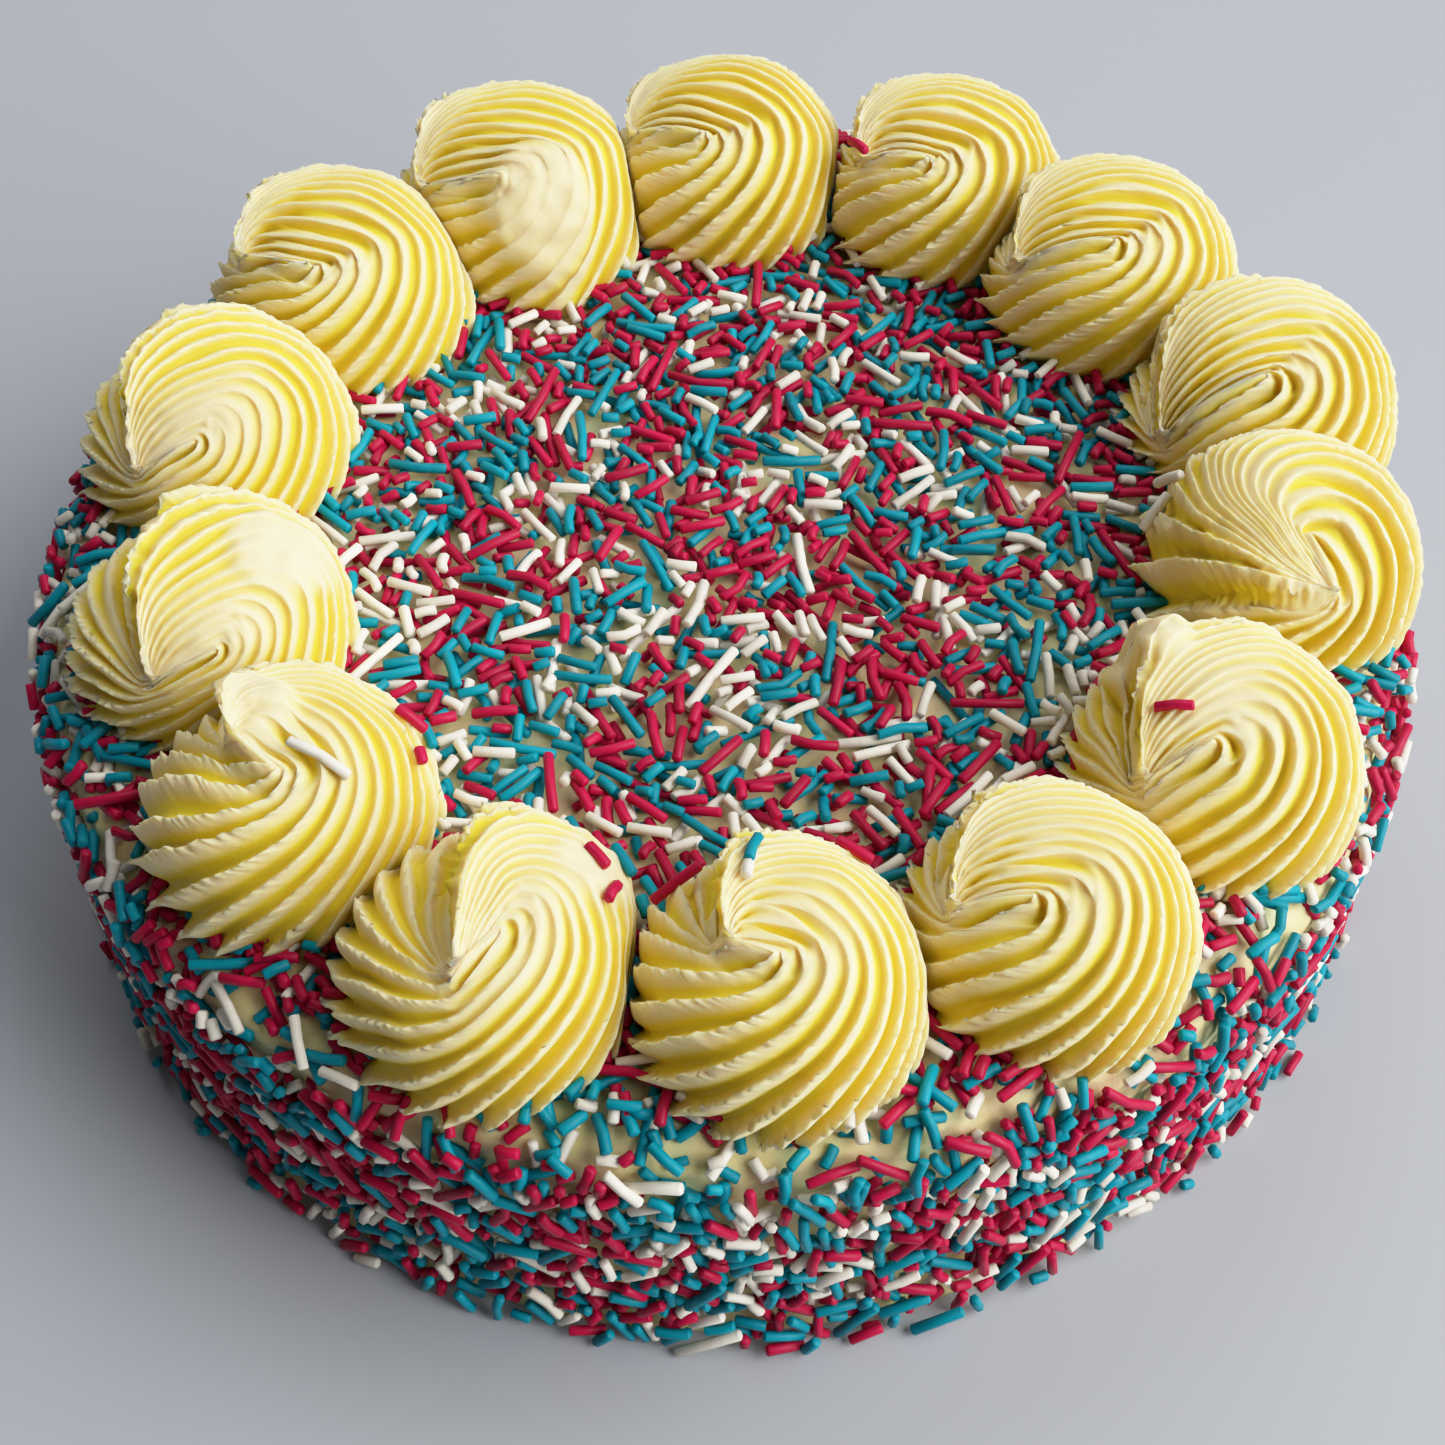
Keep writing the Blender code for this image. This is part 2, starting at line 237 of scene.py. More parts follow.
# --- Meshes ---


def added(name, data):
    made = bpy.data.objects.new(name, data)
    bpy.context.scene.collection.objects.link(made)
    return made


def mesh_object(name, points, quads, triangles=()):
    """An object at the origin whose mesh holds the points (millimetres), quads and triangles."""
    quads = np.asarray(quads, np.int64).reshape(-1, 4)
    triangles = np.asarray(triangles, np.int64).reshape(-1, 3)
    mesh = bpy.data.meshes.new(name)
    mesh.vertices.add(len(points))
    mesh.vertices.foreach_set("co", (np.asarray(points) * MM).astype(np.float32).ravel())
    corners = np.concatenate([quads.ravel(), triangles.ravel()])
    mesh.loops.add(len(corners))
    mesh.loops.foreach_set("vertex_index", corners.astype(np.int32))
    starts = np.concatenate([4 * np.arange(len(quads)), 4 * len(quads) + 3 * np.arange(len(triangles))])
    mesh.polygons.add(len(starts))
    mesh.polygons.foreach_set("loop_start", starts.astype(np.int32))
    mesh.update(calc_edges=True)
    mesh.validate()
    mesh.shade_smooth()
    return added(name, mesh)


def tube_quads(rows, columns):
    """Quads of rows whose columns close into a ring, facing out where the columns turn left going up."""
    row, column = np.indices((rows - 1, columns))
    here = row * columns + column
    beside = row * columns + (column + 1) % columns
    return stacked(here, beside, beside + columns, here + columns).reshape(-1, 4)


def closed_tube(name, grid, foot, tip):
    """A ring-columned grid, closed by a fan of triangles to a point at its foot and one at its tip."""
    rows, columns = grid.shape[:2]
    points = np.concatenate([grid.reshape(-1, 3), [foot, tip]])
    ring = np.arange(columns)
    beside = (ring + 1) % columns
    last = (rows - 1) * columns
    under = stacked(beside, ring, rows * columns)
    over = stacked(last + ring, last + beside, rows * columns + 1)
    return mesh_object(name, points, tube_quads(rows, columns), np.concatenate([under, over]))


def set_attribute(obj, name, values):
    """Stores one number for each point of the mesh, for its material."""
    layer = obj.data.attributes.new(name, "FLOAT", "POINT")
    layer.data.foreach_set("value", np.asarray(values, np.float32).ravel())


# --- Icing ---


def body_mm(sizes):
    """Radius, height and shoulder of the iced body in mm."""
    return sizes.radius / MM, sizes.height / MM, sizes.shoulder / MM


def icing_profile(path, sizes):
    """Radius, height and outward normal along the icing's profile, a path in mm from the middle of the top.

    It runs flat to the shoulder, turns down a quarter circle, and falls straight to the foot, which spreads
    as the square of the height left.
    """
    radius, height, shoulder = body_mm(sizes)
    flat = radius - shoulder
    turn = np.clip((path - flat) / shoulder, 0, math.pi / 2)
    fall = np.maximum(path - flat - shoulder * math.pi / 2, 0)
    across = np.minimum(path, flat) + shoulder * np.sin(turn)
    up = height - shoulder * (1 - np.cos(turn)) - fall
    near_foot = np.clip(1 - up / (sizes.flare_height / MM), 0, 1)
    across = across + sizes.flare / MM * near_foot**2
    return across, up, np.sin(turn), np.cos(turn)


def icing_relief(angle, path, sizes):
    """Knife's marks over the profile, in mm: long waves round the wall and soft dents on the top."""
    radius, _, shoulder = body_mm(sizes)
    flat = radius - shoulder
    x, y = path * np.cos(angle), path * np.sin(angle)
    on_top = 0.5 * noise(stacked(x / 17, y / 17, 3.3), 1)
    on_top = on_top + 0.25 * noise(stacked(x / 6, y / 6, 7.7), 2)
    rim = polar(5, angle, path / 7)
    torn = polar(60, angle, path / 1.3)
    on_wall = 0.9 * noise(rim, 3) + 0.5 * noise(polar(24, angle, path / 1.6), 4) - 0.5
    rough = np.maximum(noise(rim * 1.7, 6), 0) * (0.9 * noise(torn, 5) + 0.5 * noise(torn * 2.1, 7))
    share = soft_step(path, flat - 4, flat + 3)
    calm = 1 - 0.7 * soft_step(path, flat + shoulder + 34, flat + shoulder + 46)
    return sizes.waves / MM * (on_top * (1 - share) + 1.5 * (on_wall + rough) * share * calm)


def icing_point(angle, path, sizes):
    """Point on the icing, raised along its normal by the knife's marks."""
    across, up, out, rise = icing_profile(path, sizes)
    lift = icing_relief(angle, path, sizes)
    return polar(across + out * lift, angle, np.maximum(up + rise * lift, 0))


def icing_surface(sizes):
    """The icing as a grid of angle round the cake and path down its profile, closed under its foot."""
    radius, height, shoulder = body_mm(sizes)
    flat, turn = radius - shoulder, shoulder * math.pi / 2
    path = np.concatenate([
        np.linspace(0.5, flat, 92),
        np.linspace(flat, flat + turn, 17)[1:],
        np.linspace(flat + turn, flat + turn + height - shoulder, 54)[1:],
    ])[::-1]
    angle = np.linspace(0, 2 * math.pi, 540, endpoint=False)
    grid_path, grid_angle = np.meshgrid(path, angle, indexing="ij")
    grid = icing_point(grid_angle, grid_path, sizes)
    grid[0, :, 2] = 0
    middle = icing_point(np.zeros(1), np.zeros(1), sizes)[0]
    return grid, middle, grid_angle, grid_path


# --- Sugar strands ---

COLOURS = ("pink", "blue", "white")
FIELDS = {}  # the height maps that the strands lie on, kept for the dye under them


class Field:
    """A height map in mm over a strewn surface, and the dye that each colour leaves on it."""

    CELL = 0.3  # mm
    BOTTOM = -9.0  # lower than any ground (mm)
    STEEPEST = 0.5
    DYE_REACH = 0.8  # mm

    def __init__(self, low, size, wraps, ground):
        self.low = np.array(low, float)
        self.shape = tuple(int(round(side / self.CELL)) for side in size)
        self.wraps = wraps
        across, along = np.indices(self.shape)
        self.height = ground(self.low[0] + across * self.CELL, self.low[1] + along * self.CELL)
        self.dye = np.zeros((3, *self.shape), np.float32)

    def index(self, x, y):
        """Cells under the places, wrapped round or held at the edge."""
        i = np.round((x - self.low[0]) / self.CELL).astype(int)
        j = np.clip(np.round((y - self.low[1]) / self.CELL).astype(int), 0, self.shape[1] - 1)
        return self.held(i), j

    def held(self, i):
        return i % self.shape[0] if self.wraps else np.clip(i, 0, self.shape[0] - 1)

    def rest(self, x, y, heading, length, thick):
        """Heights and slopes at which a strand would lie at each of these places and headings.

        Of all lines over two points of the ground, one on each side of its middle, the one that is highest at
        the middle carries the strand.
        """
        along = np.linspace(-0.5, 0.5, max(7, int(length / 0.5))) * length
        east, north = np.cos(heading)[:, None], np.sin(heading)[:, None]
        ground = np.full((len(x), len(along)), self.BOTTOM)
        for side in (-0.5 * thick, 0.0, 0.5 * thick):
            px = x[:, None] + along * east - side * north
            py = y[:, None] + along * north + side * east
            here = self.height[self.index(px, py)]
            ground = np.maximum(ground, here - (0.25 * thick if side else 0.0))
        left, right = along < 1e-6, along > 1e-6
        behind, ahead = ground[:, left], ground[:, right]
        span = along[right][None, :] - along[left][:, None]
        at_middle = behind[:, :, None] * along[right] - ahead[:, None, :] * along[left][:, None]
        best = np.argmax((at_middle / span).reshape(len(x), -1), axis=1)
        back, front = np.unravel_index(best, span.shape)
        rows = np.arange(len(x))
        slope = (ahead[rows, front] - behind[rows, back]) / span[back, front]
        slope = np.clip(slope, -self.STEEPEST, self.STEEPEST)
        return np.max(ground - slope[:, None] * along, axis=1), slope

    def lay(self, x, y, heading, length, thick, height, slope, colour):
        """Raises the map to the strand's upper side and dyes the cells round it."""
        reach = int((length / 2 + thick) / self.CELL) + 1
        i0, j0 = (int(round((at - low) / self.CELL)) for at, low in zip((x, y), self.low))
        first, last = max(0, j0 - reach), min(self.shape[1], j0 + reach + 1)
        i, j = np.mgrid[i0 - reach : i0 + reach + 1, first:last]
        px, py = self.low[0] + i * self.CELL - x, self.low[1] + j * self.CELL - y
        along = px * math.cos(heading) + py * math.sin(heading)
        across = -px * math.sin(heading) + py * math.cos(heading)
        past = np.maximum(np.abs(along) - length / 2, 0)
        i = self.held(i)
        top = height + slope * along + np.sqrt(np.maximum((thick / 2) ** 2 - across**2, 0))
        inside = (np.abs(across) < thick / 2) & (past <= 0)
        self.height[i[inside], j[inside]] = np.maximum(self.height[i[inside], j[inside]], top[inside])
        near = bell(np.maximum(np.abs(across) - thick / 2, 0) + past, self.DYE_REACH)
        self.dye[colour, i, j] += 0.5 * near.astype(np.float32)


def strand_grid(middle, along, side, length, bow, thick):
    """Rods as whole arrays: five rings of six points each, on a centreline bent as a parabola to one side.

    Every argument has a row for each strand. The end rings are a little narrower, as a cut with a worn edge.
    """
    up = np.cross(along, side)
    stations = np.array([-1, -1, 0, 1, 1])
    inset = np.array([0, 0.24, 0, -0.24, 0])
    girth = np.array([0.80, 1.03, 1.0, 1.03, 0.80])
    place = stations * length[:, None] / 2 + inset * thick[:, None] / 2
    bend = bow[:, None] * (1 - (2 * place / length[:, None]) ** 2)
    centre = middle[:, None] + place[..., None] * along[:, None] + bend[..., None] * side[:, None]
    turn = 2 * math.pi * np.arange(6) / 6
    spoke = np.cos(turn)[:, None] * side[:, None] + np.sin(turn)[:, None] * up[:, None]
    radius = girth * thick[:, None] / 2
    return centre[:, :, None] + radius[..., None, None] * spoke[:, None]


def strand_mesh(name, rods):
    """All the rods of one colour as one mesh, each closed by a fan across its two ends."""
    count, rings, sides = rods.shape[:3]
    one = tube_quads(rings, sides)
    fan = np.array([(0, k + 1, k) for k in range(1, sides - 1)])
    last = (rings - 1) * sides
    ends = np.concatenate([fan, last + fan[:, ::-1]])
    step = (np.arange(count) * rings * sides)[:, None, None]
    quads, triangles = (one + step).reshape(-1, 4), (ends + step).reshape(-1, 3)
    return mesh_object(name, rods.reshape(-1, 3), quads, triangles)


def draw_lengths(draw, count, sizes):
    """Lengths in mm: most near 5.5 mm, with broken stubs and a few long ones."""
    common = draw.normal(5.5, 1.3, count)
    long = draw.uniform(7.5, sizes.longest / MM, count)
    stub = draw.uniform(sizes.shortest / MM, 3.6, count)
    kind = draw.uniform(0, 1, count)
    lengths = np.where(kind < 0.12, long, np.where(kind > 0.80, stub, common))
    return np.clip(lengths, sizes.shortest / MM, sizes.longest / MM)


def clear_of_swirls(x, y, middles, radius, share):
    """True where a place isn't under a swirl, whose foot reaches to share of its radius."""
    gap = np.hypot(x[:, None] - middles[None, :, 0], y[:, None] - middles[None, :, 1])
    return (gap > share * radius).all(axis=1)


def settle(field, x, y, heading, length, thick, colour, sunk, highest):
    """Drops the strands one after another on the height map; returns their places, headings, heights, slopes
    and colours, and which of them show.

    Each strand has a row of places and headings to choose from, and rolls to where it lies lowest. One that
    would lie higher than highest allows at its place is left out, and so is one that others nearly cover in
    the end. Its colour is the one that its place has.
    """
    count = len(x)
    chosen, heights, slopes = np.zeros(count, int), np.full(count, LEFT_OUT), np.zeros(count)
    for k in range(count):
        ground, slope = field.rest(x[k], y[k], heading[k], length[k], thick[k])
        c = chosen[k] = int(np.argmin(ground + 0.5 * np.abs(slope) * length[k]))
        height, slopes[k] = ground[c] + SEAT * thick[k] - sunk[k], slope[c]
        if height + abs(slope[c]) * length[k] / 2 < highest(y[k, c]):
            heights[k] = height
            field.lay(x[k, c], y[k, c], heading[k, c], length[k], thick[k], height, slope[c], colour[k, c])
    x, y, heading, colour = (a[np.arange(count), chosen] for a in (x, y, heading, colour))
    shows = np.zeros(count, int)
    for share in (-0.42, -0.2, 0.0, 0.2, 0.42):
        place = share * length
        over = field.height[field.index(x + place * np.cos(heading), y + place * np.sin(heading))]
        shows += over < heights + slopes * share * length + 0.8 * thick
    return x, y, heading, heights, slopes, colour, (shows > 1) & (heights > LEFT_OUT)


def draw_shapes(draw, count, tries, sizes):
    """Length, thickness, bow and headings to try of each strand, drawn at random."""
    length = draw_lengths(draw, count, sizes)
    thick = sizes.thickness / MM * draw.uniform(0.93, 1.07, count)
    bent = np.where(draw.uniform(0, 1, count) < 0.25, 0.14, 0.035)
    bow = length * bent * draw.uniform(-1, 1, count)
    heading = draw.uniform(0, 2 * math.pi, (count, tries))
    return length, thick, bow, heading


def draw_colours(draw, x, y, parts):
    """Colour of each strand at each place it may take: every colour lies thicker in its own drifts."""
    place = stacked(x / 9, y / 9, 0.0)
    shares = [share * (1 + 0.55 * noise(place, 70 + k)) for k, share in enumerate(parts)]
    pick = draw.uniform(0, 1, (len(x), 1)) * sum(shares)
    return (pick > shares[0]).astype(int) + (pick > shares[0] + shares[1])


def strands_on_top(draw, sizes, icing, middles, swirl_radius):
    """Strands on the flat top: inside the ring and in the gaps between the swirls."""
    reach = icing.radius / MM - 0.9 * icing.shoulder / MM
    count, tries = sizes.on_top, TRIES_ON_TOP
    drawn = 4 * tries * count
    out = reach * np.sqrt(draw.uniform(0, 1, drawn))
    bearing = draw.uniform(0, 2 * math.pi, drawn)
    x, y = out * np.cos(bearing), out * np.sin(bearing)
    density = 0.55 + 0.45 * soft_step(noise(stacked(x / 20, y / 20, 5.5), 31), -0.45, 0.25)
    keep = draw.uniform(0, 1, drawn) < density
    keep &= clear_of_swirls(x, y, middles, swirl_radius, 0.84)
    x, y = (a[keep][: tries * count].reshape(-1, tries) for a in (x, y))
    length, thick, bow, heading = draw_shapes(draw, count, tries, sizes)
    colour = draw_colours(draw, x, y, SHARES_ON_TOP)

    def ground(px, py):
        return icing_relief(np.arctan2(py, px), np.hypot(px, py), icing) + 0.1

    field = FIELDS["top"] = Field((-102, -102), (204, 204), False, ground)
    x, y, heading, heights, slopes, colour, shows = settle(
        field, x, y, heading, length, thick, colour, 0 * length, lambda _: HIGHEST_ON_TOP
    )
    along = unit(stacked(np.cos(heading), np.sin(heading), slopes))
    side = stacked(-np.sin(heading), np.cos(heading), 0.0)
    middle = stacked(x, y, icing.height / MM + heights)
    return [column[shows] for column in (middle, along, side, length, bow, thick, colour)]


def strands_on_wall(draw, sizes, icing, middles, swirl_radius):
    """Strands on the wall, on a map unrolled round it: thick at the foot, thin over the shoulder."""
    radius, height, shoulder = body_mm(icing)
    flat = radius - shoulder
    longest = flat + shoulder * math.pi / 2 + height - shoulder
    count, tries = sizes.on_wall, TRIES_ON_WALL
    drawn = 2 * tries * count
    bearing = draw.uniform(0, 2 * math.pi, drawn)
    up = draw.uniform(0, 1, drawn) * (longest - flat + 1)
    thrown_low = draw.uniform(0, 1, drawn) < FOOT_SHARE
    up = np.where(thrown_low, FOOT_REACH * draw.uniform(0, 1, drawn) ** 1.5, up)
    path = longest - up
    edge = THICK_UP_TO + THICK_WAVES * noise(polar(4, bearing, 0.0), 17)
    patch = noise(polar(11, bearing, path / 6), 19)
    chance = 0.12 + 0.35 * soft_step(patch, 0.0, 0.4) + 0.9 * (1 - soft_step(up, edge - 3, edge + 1.5))
    across = icing_profile(path, icing)[0]
    x, y = across * np.cos(bearing), across * np.sin(bearing)
    keep = (up < height - 4) | clear_of_swirls(x, y, middles, swirl_radius, 0.86)
    keep &= draw.uniform(0, 1, drawn) < chance
    count = min(count, keep.sum() // tries)
    bearing, up = (a[keep][: tries * count].reshape(-1, tries) for a in (bearing, up))
    length, thick, bow, heading = draw_shapes(draw, count, tries, sizes)
    colour = draw_colours(draw, bearing * radius, up, SHARES_ON_WALL)
    length = SHORTER * length
    up = np.maximum(up, np.abs(np.sin(heading)) * length[:, None] / 2 + 0.55 * thick[:, None])

    def ground(px, py):
        uneven = 1 + 0.3 * noise(stacked(px / 9, 0.0, 0.0), 23)
        heap = HEAP * np.exp(-np.maximum(py, 0) / HEAP_FADES) * uneven
        return icing_relief(px / radius, longest - py, icing) + heap - 0.45

    def highest(up):
        return HIGHEST_ON_WALL + MORE_AT_FOOT * math.exp(-up / FOOT_FADES)

    size = (2 * math.pi * radius, longest - flat + 6)
    field = FIELDS["wall"] = Field((0, 0), size, True, ground)
    sunk = 0.35 * draw.uniform(0, 1, count) ** 2
    x, up, heading, heights, slopes, colour, shows = settle(
        field, bearing * radius, up, heading, length, thick, colour, sunk, highest
    )
    bearing, path = x / radius, longest - up
    across, rise, out, lift = icing_profile(path, icing)
    normal = polar(out, bearing, lift)
    around = stacked(-np.sin(bearing), np.cos(bearing), 0.0)
    upward = np.cross(normal, around)
    along = np.cos(heading)[:, None] * around + np.sin(heading)[:, None] * upward
    along = unit(along + slopes[:, None] * normal)
    side = unit(np.cross(normal, along))
    middle = polar(across, bearing, rise) + heights[:, None] * normal
    lowest = np.abs(along[:, 2]) * length / 2 + thick / 2
    middle[:, 2] = np.maximum(middle[:, 2], lowest)
    return [column[shows] for column in (middle, along, side, length, bow, thick, colour)]


# --- Piped swirls ---


def swirl_middle(number):
    """Where the middle of a swirl stands, in mm."""
    bearing, distance = SWIRLS[number][:2]
    return distance * np.array([math.cos(math.radians(bearing)), math.sin(math.radians(bearing))])


def fold_angles(start, shares, turn):
    """Angles of the folds on every ring, followed in and out from where they start on a ring near the foot.

    While a ring shrinks by a small share, a fold turns by that share over what is left, times the tangent of
    its slant, which grows towards the foot on the left. The steps are midpoint steps.
    """
    def pace(at, share):
        slant = np.interp(np.degrees(at) % 360, SLANT_ROUND, SLANTS)
        left = np.clip(-np.cos(at - math.radians(-8)), 0, 1)
        slant = slant + 36 * soft_step(share, 0.6, 1.0) * left
        return np.tan(np.radians(slant)) / (share + 0.07)

    turn = math.radians(turn)
    angle = np.zeros((len(shares), len(start)))
    begin = int(np.argmin(np.abs(shares - 0.7)))
    angle[begin] = start
    inward = [(row, 1) for row in range(begin, len(shares) - 1)]
    outward = [(row, -1) for row in range(begin, 0, -1)]
    for row, step in inward + outward:
        less = shares[row] - shares[row + step]
        middle = angle[row] + 0.5 * less * pace(angle[row] - turn, shares[row])
        angle[row + step] = angle[row] + less * pace(middle - turn, shares[row] - 0.5 * less)
    return angle


def slit_rings(shares, angle, eye, tip):
    """Rings on the unit disc, each a straight blend of its rim (share 1) and the slit from eye to tip (0).

    The fan, whose folds come in from a little right of the slit's own way, all runs to the tip.
    """
    eye, tip = np.array(eye), np.array(tip)
    way = math.atan2(*(tip - eye)[::-1])
    to_tip = soft_step(np.cos(angle - way + math.radians(40)), -0.55, 0.55)
    slit = eye + (tip - eye) * to_tip[..., None]
    rim = stacked(np.cos(angle), np.sin(angle))
    return shares[..., None] * rim + (1 - shares[..., None]) * slit


def on_dome(flat, radius, height):
    """The rolled-out disc set on the dome, and the dome's outward normals.

    The distance from the middle is an angle down from the top; the side view is a superellipse of power 2.4.
    """
    out = np.maximum(np.hypot(flat[..., 0], flat[..., 1]), 1e-6)
    way = flat / out[..., None]
    angle = math.pi / 2 * (1 - np.minimum(out, 1))
    power, top = 2.4, 0.965
    across, up = np.cos(angle) ** (2 / power), top * np.sin(angle) ** (2 / power)
    place = np.concatenate([way * (across * radius)[..., None], (up * height)[..., None]], -1)
    outward = way * (across ** (power - 1) / radius)[..., None]
    upward = ((up / top) ** (power - 1) / height)[..., None]
    return place, unit(np.concatenate([outward, upward], -1))


def wound(place, shares, order, height, drift, drop):
    """Lowers the flank left of the fan and raises the fan, as the last turn of the cream lies over the first.

    order runs from 0 left of the fan, counterclockwise round the swirl, to 1. The fan's edge is at 1 at the
    foot and moves back by drift towards the tip, so that the folds end at it one by one. The result also says
    how far past that edge each point is.
    """
    inner = soft_step(shares, 0.01, 0.12)
    past = order - 1 + drift * soft_step(1 - shares, 0.1, 0.85)
    edge = 1 - soft_step(past, *FAN_EDGE)
    deep = drop * inner * (1 - 0.35 * soft_step(shares, 0.75, 1.0))
    sunk = deep * np.exp(-order / 0.17) * edge + deep * (1 - edge)
    raised = 0.085 * bell(past, 0.16) * edge * bell(shares - 0.33, 0.30)
    pit = 0.07 * bell(shares, 0.07) * bell(order - 0.35, 0.3)
    place[..., 2] = place[..., 2] * (1 - sunk) + (raised - pit) * height
    return place, past


def swirl_surface(number, sizes):
    """A swirl's grid in mm about its own middle, and how deep in a fold each point lies.

    Rings on a dome shrink onto the slit between the swirl's eye and the tip of its fan, and are pressed in by
    the folds, which follow fold_angles. From a crest the surface falls as a raised cosine, is deepest three
    quarters of the way, then rises steeply to the next crest, which leans in over it. A fold is as deep as a
    set share of its width. On the left the crests are torn into small teeth and end in claws at the foot.
    """
    _, _, size, eye, tip, cut, turn, drift, drop = SWIRLS[number]
    draw = np.random.RandomState(40 + number)
    radius, height = size * sizes.radius / MM, (1 + size) / 2 * sizes.height / MM
    shares = np.linspace(1, 0.012, RINGS)
    stations, per_fold, count = np.array(FOLD_STATIONS), len(FOLD_STATIONS), sizes.folds
    starts = np.arange(count) + 0.14 * draw.uniform(-1, 1, count)
    starts[0] = 0
    bunched = min(0.28, 1.9 * drift)
    starts = (1 - bunched) * starts + bunched * starts**2 / count
    ends = np.append(starts[1:], count)
    fold = np.repeat(np.arange(count), per_fold)
    between = np.tile(stations, count)[None]
    order = (starts[:, None] * (1 - stations) + ends[:, None] * stations).ravel()[None] / count
    gain = np.repeat(1 + 0.18 * draw.uniform(-1, 1, count), per_fold)[None]
    angle = fold_angles(math.radians(cut + 4) + 2 * math.pi * order[0], shares, turn)
    share = shares[:, None] + 0 * angle
    flat = slit_rings(share, angle, eye, tip)
    place, normal = on_dome(flat, radius, height)
    place[..., :2] *= 1 - 0.14 * np.exp(-place[..., 2:] / height / 0.06)
    place, past = wound(place, share, order + 0 * angle, height, drift, drop)
    smeared, rise = np.zeros((2, *angle.shape))
    for _, x, y, reach, up in (row for row in SMEARS if row[0] == number):
        patch = np.exp(-((np.hypot(place[..., 0] - x, place[..., 1] - y) / reach) ** 7))
        smeared, rise = np.maximum(smeared, patch), rise + up * patch

    crest = place[:, ::per_fold]
    along = unit(np.gradient(crest, axis=0))
    step = np.roll(crest, -1, axis=1) - crest
    width = np.linalg.norm(step - (step * along).sum(-1, keepdims=True) * along, axis=-1)
    width[:, -1] = width[:, -2]
    width = np.minimum(width, WIDEST)
    width = np.repeat(0.5 * (width + np.roll(width, 1, axis=1)), per_fold, axis=1)
    travel = np.linalg.norm(np.diff(crest, axis=0, prepend=crest[:1]), axis=-1)
    travel = np.repeat(np.cumsum(travel, axis=0), per_fold, axis=1)
    along = np.repeat(along, per_fold, axis=1)
    sideways = unit(np.cross(along, normal))

    torn = np.clip(0.55 - 0.75 * np.cos(angle - math.radians(22)), 0, 1)
    deepest = 0.72 + 0.05 * torn
    falling = 0.5 - 0.5 * np.cos(math.pi * np.clip(between / deepest, 0, 1) ** 1.1)
    rising = np.sin(0.5 * math.pi * np.clip((1 - between) / (1 - deepest), 0, 1)) ** 0.8
    valley = np.where(between < deepest, falling, rising)
    line = (fold + (between > 0.85)) % count * 7.31
    spot = stacked(travel / 0.55, line, 3.17 * number + 2.4 * between)

    def along_folds(stretch, seed):
        return noise(spot * (stretch, 1, 1), seed + number)

    swell = 1 + 0.22 * along_folds(0.09, 90)
    deep = np.minimum(sizes.depth * width * gain * swell, DEEPEST)
    deep = deep * (1 - 0.8 * bell(share, 0.04)) * (1 - 0.88 * smeared)
    crested = bell(np.minimum(between / 0.14, (1 - between) / 0.08), 1)
    rough = 1.2 * np.minimum(along_folds(1, 50), 0.3) + 0.5 * along_folds(0.35, 70)
    fine = np.clip(width / 2.2, 0.3, 1.1) * (0.5 + 0.5 * torn)
    out = -deep * valley + sizes.tear / MM * rough * crested * fine * (1 - smeared)
    fibres = noise(stacked(order * 45, share * 6, 5.3 * number), 60)
    out = out + 0.28 * bell(share, 0.28) * fibres
    crumbly = soft_step(order, 0.70, 0.86) * (1 - soft_step(past, *FAN_EDGE)) * soft_step(share, 0.05, 0.2)
    crumbs = 0.40 * noise(place / 1.15 + 2.9 * number, 16) + 0.25 * noise(place / 2.6, 18)
    out = out + crumbly * size**4 * crumbs
    out = out + rise + 0.45 * smeared * noise(place / 2.2 + 1.7 * number, 14)
    uneven = 1 + 0.6 * along_folds(0.5, 30) * torn
    lean = sizes.overhang * width * (1 - valley) ** 2 * uneven * np.clip(deep / 0.8, 0, 1)
    grid = place + out[..., None] * normal - lean[..., None] * sideways

    lip = bell(past + 0.010, 0.014) * soft_step(share, 0.03, 0.2) * (1 - soft_step(share, 0.6, 0.95))
    frayed = 0.9 + 0.6 * noise(stacked(travel / 0.8, 0.0, 9.1 * number), 7)
    grid = grid + (1.3 * lip * frayed)[..., None] * sideways
    claw = np.clip(-np.cos(angle - math.radians(5)), 0, 1) ** 2 * bell(grid[..., 2], 4.5)
    spike = (3.6 * crested - 0.6) * claw
    grid[..., 0] += spike * np.cos(angle)
    grid[..., 1] += spike * np.sin(angle)
    ragged = bell(share, 0.15) * soft_step(share, 0.0, 0.03)
    blob = np.exp(-(((flat - tip) ** 2).sum(-1) / 0.13**2)) * soft_step(order, 0.5, 0.7)
    crumbs = noise(grid / 0.9 + 3.3 * number, 12)
    grid = grid + (0.30 * ragged * crumbs + blob * (0.9 + 0.7 * crumbs))[..., None] * normal
    lump = noise(grid / 7 + 5.7 * number, 11)
    grid = grid + 0.4 * lump[..., None] * (1, 1, 0.6)
    # The second result, how deep in a fold each point lies, sets the painted shade in the cream's valleys
    return grid, valley * np.clip(deep / 1.1, 0, 1.2)


